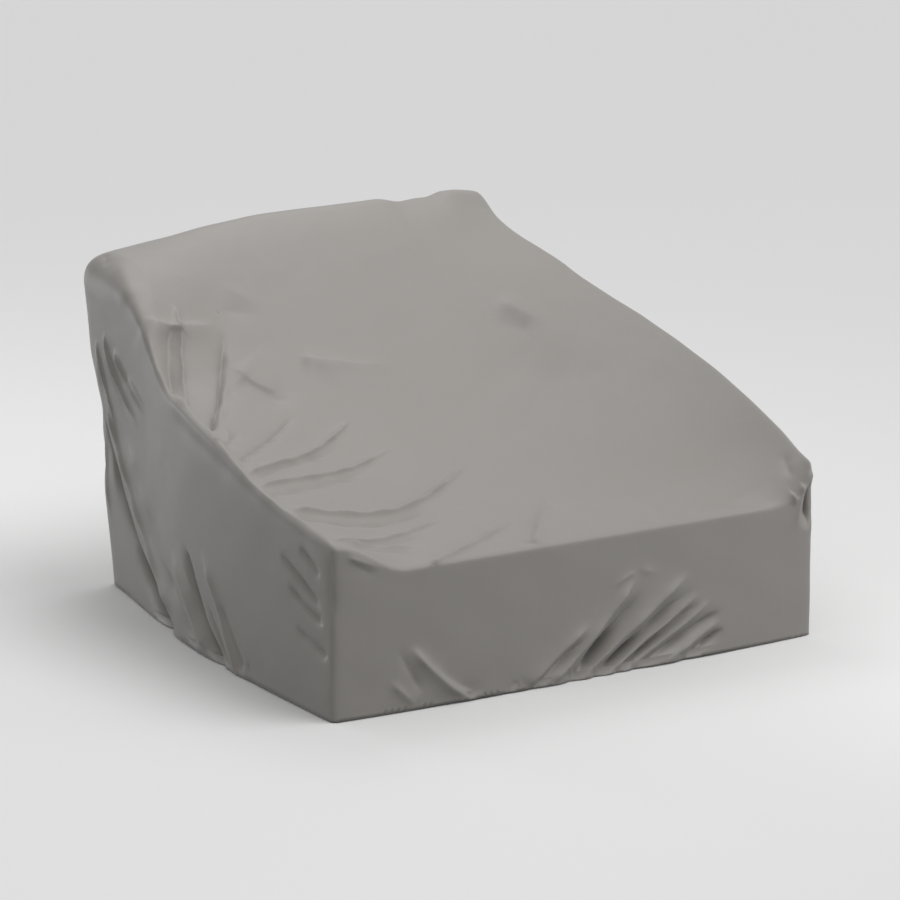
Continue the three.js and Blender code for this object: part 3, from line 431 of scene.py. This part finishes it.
class Fold:
    """One row of a fold table with its line laid on the skin: a quadratic curve through the three
    places, which on the top also wanders a little to either side."""

    def __init__(self, row):
        face, start, middle, end, self.width, self.crest, self.height, self.lean, self.fades = row
        share = np.linspace(0, 1, PATH_STEPS + 1)
        start, middle, end = (np.array(place, float) for place in (start, middle, end))
        bend = 2 * middle - (start + end) / 2
        weights = (1 - share) ** 2, 2 * share * (1 - share), share**2
        run = sum(np.outer(weight, place) for weight, place in zip(weights, (start, bend, end)))
        step = np.gradient(run, axis=0)
        step /= np.linalg.norm(step, axis=1, keepdims=True)
        self.beats = np.linalg.norm(end - start) / WAVER_LENGTH
        self.phase = start.sum()
        waver = WAVER if face == "top" else 0
        aside = waver * np.sin(2 * math.pi * self.beats * share + self.phase) * np.sin(math.pi * share)
        run = run + aside[:, None] * np.stack([-step[:, 1], step[:, 0]], 1)
        a, b = place_on(face, run[:, 0], run[:, 1])
        half = PATH_STEPS // 2
        self.line, self.normal = on_skin(a, b), outward(a[half], b[half])
        self.legs = np.diff(self.line, axis=0)
        self.reach = FOLD_REACH * max(self.width) * (1 + abs(self.lean))

    def lift(self, points):
        """How far the fold moves the cloth at each point: height x exp(-fall (hypot(q, crest) - crest)),
        where q is the distance to its line in widths. It swells a little along the line, and is
        faded in and out at its ends."""
        low, high = self.line.min(0) - self.reach, self.line.max(0) + self.reach
        close = np.flatnonzero(np.all((points > low) & (points < high), axis=1))
        moved = np.zeros(len(points))
        if len(close) == 0:
            return moved
        offset = points[close][:, None, :] - self.line[None, :-1, :]
        along = np.clip((offset * self.legs).sum(-1) / (self.legs**2).sum(-1), 0, 1)
        offset = offset - along[..., None] * self.legs
        gap = np.linalg.norm(offset, axis=-1)
        leg, row = gap.argmin(1), np.arange(len(close))
        s = (leg + along[row, leg]) / PATH_STEPS
        wide = mix(self.width[0], self.width[1], s)
        side = np.where((np.cross(self.legs[leg], self.normal) * offset[row, leg]).sum(-1) < 0, 1, -1)
        q = gap[row, leg] / (wide * (1 + side * self.lean))
        shape = np.exp(-FOLD_FALL * (np.hypot(q, self.crest) - self.crest)) * soft(FOLD_REACH - q)
        rise = soft(s / self.fades[0]) if self.fades[0] else 1
        fall = soft((1 - s) / self.fades[1]) if self.fades[1] else 1
        swell = 1 + WAVER_HEIGHT * np.sin(WAVER_SWELL * self.beats * s + self.phase)
        moved[close] = self.height * swell * shape * rise * fall
        return moved


def unevenness(points, size):
    """Soft lumps: crossed sines of unlike lengths and directions, size high."""
    return size * np.sin(points @ LUMP_RUNS.T + np.arange(len(LUMP_RUNS))).mean(1)


# The cloth's mesh


def first_grid():
    """A coarse grid over the unit square and the ring of walls round it, as layout places and triangles."""
    line = np.linspace(-2, 2, 4 * FIRST_CELLS + 1)
    A, B = np.meshgrid(line, line, indexing="ij")
    number = np.arange(A.size).reshape(A.shape)
    corners = (number[:-1, :-1], number[1:, :-1], number[1:, 1:], number[:-1, 1:])
    quads = np.stack(corners, -1).reshape(-1, 4)
    return np.stack([A.ravel(), B.ravel()], 1), np.concatenate([quads[:, [0, 1, 2]], quads[:, [2, 3, 0]]])


def edges_of(triangles):
    """The two ends of every edge, each edge once, and for each triangle the numbers of the edges
    that are its sides 01, 12 and 20."""
    sides = np.sort(triangles[:, [0, 1, 1, 2, 2, 0]].reshape(-1, 2), axis=1)
    key = sides[:, 0] * MANY + sides[:, 1]
    _, first, inverse = np.unique(key, return_index=True, return_inverse=True)
    return sides[first], inverse.reshape(-1, 3)


def refine(places, triangles, cloth, longest, shortest, turn):
    """Halves edges until none is longer than longest, and none longer than shortest has its
    cloth turning by more than turn along it. On an arc the middle lies turn x length / 8 off the
    straight edge. A triangle's longest edge is always halved first, so that no triangle gets thin."""
    points = cloth(places)
    settled = np.zeros(0, np.int64)
    for _ in range(REFINE_ROUNDS):
        ends, sides = edges_of(triangles)
        name = ends[:, 0] * MANY + ends[:, 1]
        length = np.linalg.norm(points[ends[:, 0]] - points[ends[:, 1]], axis=1)
        middle = places[ends].mean(1)
        split = length > longest
        ask = np.flatnonzero(~split & (length > shortest) & ~np.isin(name, settled))
        gap = np.linalg.norm(cloth(middle[ask]) - points[ends[ask]].mean(1), axis=1)
        turns = 8 * gap > turn * length[ask]
        split[ask[turns]] = True
        settled = np.concatenate([settled, name[ask[~turns]]])
        if not split.any():
            break
        longest_side = length[sides].argmax(1)
        row = np.arange(len(triangles))
        need = sides[row, longest_side]
        while not split[need[split[sides].any(1)]].all():
            split[need[split[sides].any(1)]] = True
        turned = (np.arange(3)[None, :] + longest_side[:, None]) % 3
        triangles = np.take_along_axis(triangles, turned, 1)
        sides = np.take_along_axis(sides, turned, 1)
        number = np.cumsum(split) - 1 + len(places)
        mids = np.where(split, number, -1)[sides]
        places = np.concatenate([places, middle[split]])
        points = np.concatenate([points, cloth(middle[split])])
        p, q, r = triangles.T
        m, n, o = mids.T
        kept, cut, right, left = m < 0, m >= 0, n >= 0, o >= 0
        parts = [
            triangles[kept],
            np.stack([p, m, r], 1)[cut & ~left],
            np.stack([p, m, o], 1)[cut & left],
            np.stack([o, m, r], 1)[cut & left],
            np.stack([m, q, r], 1)[cut & ~right],
            np.stack([m, q, n], 1)[cut & right],
            np.stack([m, n, r], 1)[cut & right],
        ]
        triangles = np.concatenate(parts)
    return places, triangles, points


def surface_normals(points, triangles):
    """Corner normals: the sum of the face normals, each the cross product of two sides."""
    corners = points[triangles]
    face = np.cross(corners[:, 1] - corners[:, 0], corners[:, 2] - corners[:, 0])
    normals = np.zeros_like(points)
    for corner in range(3):
        np.add.at(normals, triangles[:, corner], face)
    return normals / np.linalg.norm(normals, axis=1, keepdims=True)


def turned_hem(places, points, triangles):
    """The hem folded up behind the cloth's edge: rows of points set in along the edge's own
    normals, and the triangles that join them."""
    edge = np.flatnonzero(np.abs(places).max(1) > 2 - 1e-9)
    edge = edge[np.argsort(np.arctan2(places[edge, 1], places[edge, 0]))]
    out = surface_normals(points, triangles)[edge] * [1, 1, 0]
    out /= np.linalg.norm(out, axis=1, keepdims=True)
    rows = [points[edge] - out * inward + [0, 0, up] for inward, up in HEM_TURN]
    number = np.concatenate([edge, len(points) + np.arange(len(rows) * len(edge))]).reshape(-1, len(edge))
    upper, lower = number[:-1], number[1:]
    ahead, lower_ahead = np.roll(upper, -1, 1), np.roll(lower, -1, 1)
    faces = np.concatenate([np.stack([upper, lower, ahead], -1), np.stack([ahead, lower, lower_ahead], -1)])
    return np.concatenate([points, *rows]), np.concatenate([triangles, faces.reshape(-1, 3)]), edge


def on_flat_cloth(places, sideways):
    """Where a place lies on the cloth spread flat, in millimetres: the top in the middle and each
    wall folded out from its own edge."""
    m = np.maximum(np.abs(places).max(-1), 1)
    rim = places / m[..., None]
    drop = (m - 1) * on_top(rim[..., 0], rim[..., 1])[..., 2]
    across = rim[..., 0] * HALF + np.where(sideways, np.sign(rim[..., 0]) * drop, 0)
    along = rim[..., 1] * TOP_LENGTH / 2 + np.where(sideways, 0, np.sign(rim[..., 1]) * drop)
    return np.stack([across, along], -1)


def drape(settings):
    """The cloth's points in millimetres, its triangles, each face corner's place on the flat cloth,
    and how much painted shade each point gets. The skin is moved along its normal by the folds, creases
    and lumps, and the painted shade darkens it where that is inward and deep."""
    folds = [Fold(row) for row in FOLDS]
    creases = [Fold(row) for row in CREASES]

    def lift(skin):
        total = sum(fold.lift(skin) for fold in folds)
        total += settings.relief * sum(crease.lift(skin) for crease in creases)
        return total * mix(HEM_HOLD, 1, soft(skin[:, 2] / HEM_STIFF)) + unevenness(skin, settings.lumps / MM)

    def cloth(places):
        skin = on_skin(places[:, 0], places[:, 1])
        return skin + outward(places[:, 0], places[:, 1]) * lift(skin)[:, None]

    places, triangles = first_grid()
    sizes = (settings.longest / MM, settings.shortest / MM, settings.turn)
    places, triangles, points = refine(places, triangles, cloth, *sizes)
    points, triangles, edge = turned_hem(places, points, triangles)
    places = np.concatenate([places, np.tile(places[edge], (len(HEM_TURN), 1))])
    # Painted shade: deep inward folds get a darker colour, standing in for the shade that falls there.
    soil = soft((-lift(on_skin(places[:, 0], places[:, 1])) - UNSHADED_DEPTH) / SHADE_RAMP_DEPTH)
    corners = places[triangles]
    centre = np.abs(corners.mean(1))
    sideways = np.repeat((centre[:, 0] > centre[:, 1])[:, None], 3, 1)
    return points, triangles, on_flat_cloth(corners, sideways), soil


def to_row_frame(points):
    """Points in metres in the part's own frame, whose origin is under the middle of its solid."""
    return (points - FRAME_SHIFT) * MM


def new_piece(name, points, faces):
    """A mesh object at the origin from arrays of points and faces that have the same number of corners."""
    mesh = bpy.data.meshes.new(name)
    mesh.vertices.add(len(points))
    mesh.vertices.foreach_set("co", points.astype(np.float32).ravel())
    mesh.loops.add(faces.size)
    mesh.loops.foreach_set("vertex_index", faces.astype(np.int32).ravel())
    mesh.polygons.add(len(faces))
    mesh.polygons.foreach_set("loop_start", np.arange(0, faces.size, faces.shape[1], dtype=np.int32))
    mesh.polygons.foreach_set("use_smooth", np.ones(len(faces), bool))
    mesh.update(calc_edges=True)
    piece = bpy.data.objects.new(name, mesh)
    bpy.context.scene.collection.objects.link(piece)
    return piece


# Finishes


class Number:
    """A number, colour or direction that changes over a surface, as the socket that gives it.
    Arithmetic on a number adds Math nodes."""

    def __init__(self, tree, socket):
        self.tree, self.socket = tree, socket

    def math(self, operation, *terms):
        node = self.tree.nodes.new("ShaderNodeMath")
        node.operation = operation
        for slot, term in zip(node.inputs, terms):
            if isinstance(term, Number):
                self.tree.links.new(term.socket, slot)
            else:
                slot.default_value = term
        return Number(self.tree, node.outputs[0])

    def __add__(self, other):
        return self.math("ADD", self, other)

    __radd__ = __add__

    def __sub__(self, other):
        return self.math("SUBTRACT", self, other)

    def __rsub__(self, other):
        return self.math("SUBTRACT", other, self)

    def __mul__(self, other):
        return self.math("MULTIPLY", self, other)

    __rmul__ = __mul__

    def sine(self):
        return self.math("SINE", self)


class Nodes:
    """A node tree under construction: node() adds any node with its settings and inputs."""

    def __init__(self, tree, shader):
        self.tree, self.shader = tree, tree.nodes[shader]

    def node(self, kind, output=0, settings=None, **inputs):
        node = self.tree.nodes.new(kind)
        for name, value in (settings or {}).items():
            setattr(node, name, value)
        for name, value in inputs.items():
            self.put(node.inputs[name.replace("_", " ")], value)
        return Number(self.tree, node.outputs[output])

    def put(self, slot, value):
        if isinstance(value, Number):
            self.tree.links.new(value.socket, slot)
        else:
            slot.default_value = value

    def set(self, **inputs):
        for name, value in inputs.items():
            self.put(self.shader.inputs[name.replace("_", " ")], value)

    def blend(self, share, low, high):
        """A colour between low and high. Each is a link, or a colour as red, green and blue."""
        colour = self.node("ShaderNodeMix", output=2, settings={"data_type": "RGBA"})
        slots = colour.socket.node.inputs
        self.put(slots[0], share)
        for slot, value in ((slots[6], low), (slots[7], high)):
            self.put(slot, value if isinstance(value, Number) else (*value, 1.0))
        return colour


def new_material(name):
    """A material and the nodes of its tree."""
    material = bpy.data.materials.new(name)
    material.use_nodes = True
    return material, Nodes(material.node_tree, "Principled BSDF")


def scaled(colour, share):
    """A colour made darker or lighter by a share."""
    return tuple(part * share for part in colour)


WEAVE_HEIGHT, SLUB_HEIGHT, CRINKLE_HEIGHT = 0.00006, 0.00008, 0.0022  # relief in metres
SLUB_STRETCH = (400, 24, 1)  # thick places in the threads: how many to a metre across and along
TONE_SPREAD = 0.05  # share by which the cloth's colour goes darker and lighter
DARKEST_PAINTED_SHADE = 0.3  # share of the cloth's colour left where the painted shade is darkest


def coated_cloth(finish):
    """Coated polyester: a fine plain weave under a thin satin film, with faint slubs, a
    little dust in the weave, painted shade in deep folds, and small handling crinkles."""
    material, f = new_material("coated_cloth")
    flat = f.node("ShaderNodeUVMap", settings={"uv_map": "cloth"})
    u, v = (f.node("ShaderNodeSeparateXYZ", output=axis, Vector=flat) for axis in (0, 1))
    turns = 2 * math.pi / finish.thread
    weave = (u * turns).sine() * (v * turns).sine()

    along = f.node("ShaderNodeMapping", Vector=flat, Scale=SLUB_STRETCH)
    slubs = f.node("ShaderNodeTexNoise", Vector=along, Scale=1.0, Detail=2.0)
    place = f.node("ShaderNodeTexCoord", output=3)
    crinkle = f.node("ShaderNodeTexNoise", Vector=place, Scale=26.0, Detail=3.0, Roughness=0.55)
    patches = f.node("ShaderNodeTexNoise", Vector=place, Scale=3.2, Detail=2.0)
    dust = f.node("ShaderNodeTexNoise", Vector=place, Scale=90.0, Detail=2.0)

    tone = 0.5 + (patches - 0.5) * 0.5 + (slubs - 0.5) * 0.25 + (dust - 0.5) * 0.2 + weave * 0.06
    dark, light = (scaled(finish.colour, 1 + spread) for spread in (-TONE_SPREAD, TONE_SPREAD))
    # Painted shade: the fold-depth attribute darkens the base colour in deep folds.
    soil = f.node("ShaderNodeAttribute", output=2, settings={"attribute_name": "soil"})
    painted_shade_colour = f.blend(soil * finish.soil, f.blend(tone, dark, light), scaled(finish.colour, DARKEST_PAINTED_SHADE))

    height = weave * WEAVE_HEIGHT + slubs * SLUB_HEIGHT
    fine = f.node("ShaderNodeBump", Height=height, Strength=finish.weave_relief, Distance=1.0)
    crisp = f.node(
        "ShaderNodeBump", Height=crinkle * CRINKLE_HEIGHT, Strength=finish.crinkle, Distance=1.0, Normal=fine
    )
    f.set(
        Base_Color=painted_shade_colour,
        Roughness=finish.roughness + (crinkle - 0.5) * 0.12 + (dust - 0.5) * 0.06,
        Normal=crisp,
        Sheen_Weight=finish.sheen,
        Sheen_Roughness=0.45,
        Specular_IOR_Level=0.6,
    )
    return material


def studio_floor(settings):
    """Pale matt floor with hardly visible unevenness in its tone."""
    material, f = new_material("studio_floor")
    place = f.node("ShaderNodeTexCoord", output=3)
    tone = f.node("ShaderNodeTexNoise", Vector=place, Scale=0.35, Detail=1.0)
    colour = f.blend(tone, scaled(settings.floor, 0.995), tuple(settings.floor))
    f.set(Base_Color=colour, Roughness=0.75, Specular_IOR_Level=0.2)
    return material


def studio_room(settings):
    """Even light from above that fades to a weak fill from below."""
    world = bpy.data.worlds.new("studio_room")
    world.use_nodes = True
    f = Nodes(world.node_tree, "Background")
    up = f.node("ShaderNodeSeparateXYZ", output=2, Vector=f.node("ShaderNodeTexCoord"))
    strength = f.node(
        "ShaderNodeMapRange", Value=up, From_Min=-HORIZON, From_Max=HORIZON,
        To_Min=settings.fill, To_Max=settings.room,
    )
    f.set(Color=(1.0, 1.0, 1.0, 1.0), Strength=strength)
    return world


# Settings, operators and panel


class CoverSettings(bpy.types.PropertyGroup):
    longest: FloatProperty(
        name="Longest edge",
        description="Longest edge in the cloth's mesh",
        default=0.021, min=0.004, max=0.1, unit="LENGTH",
    )
    shortest: FloatProperty(
        name="Shortest edge",
        description="Edges under this are not halved",
        default=0.007, min=0.002, max=0.1, unit="LENGTH",
    )
    turn: FloatProperty(
        name="Turn",
        description="Turn of the cloth along one edge that makes it be halved, in radians",
        default=0.19, min=0.01, max=1.0,
    )
    relief: FloatProperty(
        name="Crease relief",
        description="Height of the fine creases, as a share of their own",
        default=1.0, min=0.0, max=2.0, subtype="FACTOR",
    )
    lumps: FloatProperty(
        name="Unevenness",
        description="Height of the soft lumps all over the cloth",
        default=0.0012, min=0.0, max=0.01, subtype="DISTANCE", unit="LENGTH",
    )


class ClothFinish(bpy.types.PropertyGroup):
    colour: FloatVectorProperty(
        name="Colour",
        description="Colour of the coated cloth",
        default=(0.345, 0.326, 0.305), min=0.0, max=1.0, size=3, subtype="COLOR",
    )
    roughness: FloatProperty(
        name="Roughness",
        description="Roughness of the coating",
        default=0.5, min=0.0, max=1.0, subtype="FACTOR",
    )
    sheen: FloatProperty(
        name="Sheen",
        description="Pale glow of the fibres at grazing angles",
        default=0.25, min=0.0, max=1.0, subtype="FACTOR",
    )
    thread: FloatProperty(
        name="Thread pitch",
        description="Distance between neighbouring threads",
        default=0.0011, min=0.0003, max=0.01, precision=4, subtype="DISTANCE", unit="LENGTH",
    )
    weave_relief: FloatProperty(
        name="Weave relief",
        description="Strength of the weave in the finish",
        default=0.5, min=0.0, max=1.0, subtype="FACTOR",
    )
    # Painted shade: how far the deep folds are darkened through the fold-depth attribute.
    soil: FloatProperty(
        name="Painted fold shade",
        description="How much darker the dust makes the deep folds",
        default=0.6, min=0.0, max=1.0, subtype="FACTOR",
    )
    crinkle: FloatProperty(
        name="Crinkle",
        description="Strength of the small handling crinkles",
        default=0.25, min=0.0, max=1.0, subtype="FACTOR",
    )


class StudioSettings(bpy.types.PropertyGroup):
    floor: FloatVectorProperty(
        name="Floor colour",
        description="Colour of the pale floor",
        default=(0.96, 0.96, 0.96), min=0.0, max=1.0, size=3, subtype="COLOR",
    )
    room: FloatProperty(
        name="Room light", description="Strength of the even light from above",
        default=0.46, min=0.0, max=5.0,
    )
    fill: FloatProperty(
        name="Fill light", description="Strength of the weak light from below",
        default=0.05, min=0.0, max=5.0,
    )
    overhead: FloatProperty(
        name="Overhead light", description="Strength of the wide light above",
        default=0.95, min=0.0, max=20.0,
    )
    back: FloatProperty(
        name="Back light", description="Power of the soft light over the back, in watts",
        default=11.0, min=0.0, max=200.0,
    )
    right: FloatProperty(
        name="Right light", description="Power of the soft light at the front right, in watts",
        default=5.0, min=0.0, max=200.0,
    )
    front: FloatProperty(
        name="Front light", description="Power of the soft light at the front left, in watts",
        default=9.0, min=0.0, max=200.0,
    )
    left: FloatProperty(
        name="Left light", description="Power of the soft light at the back left, in watts",
        default=26.0, min=0.0, max=200.0,
    )


class DAYBED_OT_cover(bpy.types.Operator):
    """Build the draped cover with its folds, creases and turned hem"""

    bl_idname = "daybed.cover"
    bl_label = "Build cover"

    def execute(self, context):
        settings = context.scene.cover_settings
        points, triangles, flat, soil = drape(settings)
        piece = new_piece("draped_cover", to_row_frame(points), triangles)
        layer = piece.data.uv_layers.new(name="cloth")
        layer.data.foreach_set("uv", (flat * MM).astype(np.float32).ravel())
        # Fold depth stored for the painted shade in the deep folds.
        piece.data.attributes.new("soil", "FLOAT", "POINT").data.foreach_set("value", soil.astype(np.float32))
        piece.data.materials.append(coated_cloth(context.scene.cloth_finish))
        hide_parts("cover")
        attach(piece, "root")
        return {"FINISHED"}


class DAYBED_OT_studio(bpy.types.Operator):
    """Set up the pale floor, the soft lights and the camera"""

    bl_idname = "daybed.studio"
    bl_label = "Build studio"

    def execute(self, context):
        scene, settings = context.scene, context.scene.studio_settings
        scene.view_settings.view_transform = "Standard"
        floor = new_piece("studio_floor", *round_floor())
        floor.data.materials.append(studio_floor(settings))
        floor.visible_diffuse = False
        scene.world = studio_room(settings)
        soft_light("overhead_light", OVERHEAD_SOURCE, OVERHEAD_SPREAD, settings.overhead)
        for name, (place, target, side, power) in SOFT_BOXES.items():
            soft_box(name, place, target, side, getattr(settings, power))
        eye = bpy.data.cameras.new("studio_camera")
        eye.lens, eye.sensor_width = LENS, SENSOR
        eye.clip_start, eye.clip_end = 0.1, 200.0
        camera = bpy.data.objects.new("studio_camera", eye)
        scene.collection.objects.link(camera)
        right, up, back = camera_axes(CAMERA["azimuth"], CAMERA["elevation"])
        place = right * CAMERA["right"] + up * CAMERA["up"] + back * CAMERA["back"]
        turned = Matrix((right, up, back)).transposed().to_4x4()
        camera.matrix_world = Matrix.Translation((place - Vector(FRAME_SHIFT)) * MM) @ turned
        scene.camera = camera
        return {"FINISHED"}


def round_floor():
    """A flat round floor: rings of four-sided faces, and more of them across the first ring."""
    turn = np.linspace(0, 2 * math.pi, RING_POINTS, endpoint=False)
    x, y = np.outer(FLOOR_RINGS, np.cos(turn)), np.outer(FLOOR_RINGS, np.sin(turn))
    points = np.stack([x, y, 0 * x], -1).reshape(-1, 3)
    number = np.arange(x.size).reshape(x.shape)
    inner, outer = number[:-1], number[1:]
    quads = np.stack([inner, outer, np.roll(outer, -1, 1), np.roll(inner, -1, 1)], -1).reshape(-1, 4)
    even, odd = number[0, ::2], number[0, 1::2]
    spokes = np.stack([np.full(len(even), len(points)), even, odd, np.roll(even, -1)], -1)
    return np.concatenate([points, [[0, 0, 0]]]), np.concatenate([quads, spokes])


def camera_axes(azimuth, elevation):
    """The camera's right, up and back directions."""
    a, e = math.radians(azimuth), math.radians(elevation)
    back = Vector((math.sin(a) * math.cos(e), -math.cos(a) * math.cos(e), math.sin(e)))
    right = Vector((math.cos(a), math.sin(a), 0))
    return right, back.cross(right), back


def soft_light(name, source, spread, strength):
    """An even light that comes from the direction source, its rays spread over an angle in degrees."""
    lamp = bpy.data.lights.new(name, "SUN")
    lamp.angle, lamp.energy = math.radians(spread), strength
    light = bpy.data.objects.new(name, lamp)
    bpy.context.scene.collection.objects.link(light)
    light.matrix_world = Vector(source).to_track_quat("Z", "Y").to_matrix().to_4x4()


def soft_box(name, place, target, side, power):
    """A square soft light at a place in metres, facing its target, with its side in metres and
    its power in watts."""
    lamp = bpy.data.lights.new(name, "AREA")
    lamp.shape, lamp.size, lamp.energy = "SQUARE", side, power
    light = bpy.data.objects.new(name, lamp)
    bpy.context.scene.collection.objects.link(light)
    turned = (Vector(place) - Vector(target)).to_track_quat("Z", "Y").to_matrix().to_4x4()
    light.matrix_world = Matrix.Translation(place) @ turned


GROUPS = {"cover_settings": CoverSettings, "cloth_finish": ClothFinish, "studio_settings": StudioSettings}
TITLES = {"cover_settings": "Cloth", "cloth_finish": "Finish", "studio_settings": "Studio"}


class VIEW3D_PT_daybed_cover(bpy.types.Panel):
    """Every setting, and the two operators that build from them"""

    bl_label = "Daybed cover"
    bl_space_type = "VIEW_3D"
    bl_region_type = "UI"
    bl_category = "Daybed cover"

    def draw(self, context):
        for group, title in TITLES.items():
            box = self.layout.box()
            box.label(text=title)
            settings = getattr(context.scene, group)
            for name in settings.__annotations__:
                box.prop(settings, name)
        self.layout.operator(DAYBED_OT_cover.bl_idname)
        self.layout.operator(DAYBED_OT_studio.bl_idname)


CLASSES = (*GROUPS.values(), DAYBED_OT_cover, DAYBED_OT_studio, VIEW3D_PT_daybed_cover)


def register():
    for cls in CLASSES:
        bpy.utils.register_class(cls)
    for name, group in GROUPS.items():
        setattr(bpy.types.Scene, name, PointerProperty(type=group))


def unregister():
    for name in GROUPS:
        delattr(bpy.types.Scene, name)
    for cls in reversed(CLASSES):
        bpy.utils.unregister_class(cls)


def main():
    register()
    bpy.ops.daybed.cover()
    bpy.ops.daybed.studio()


if __name__ == "__main__":
    main()
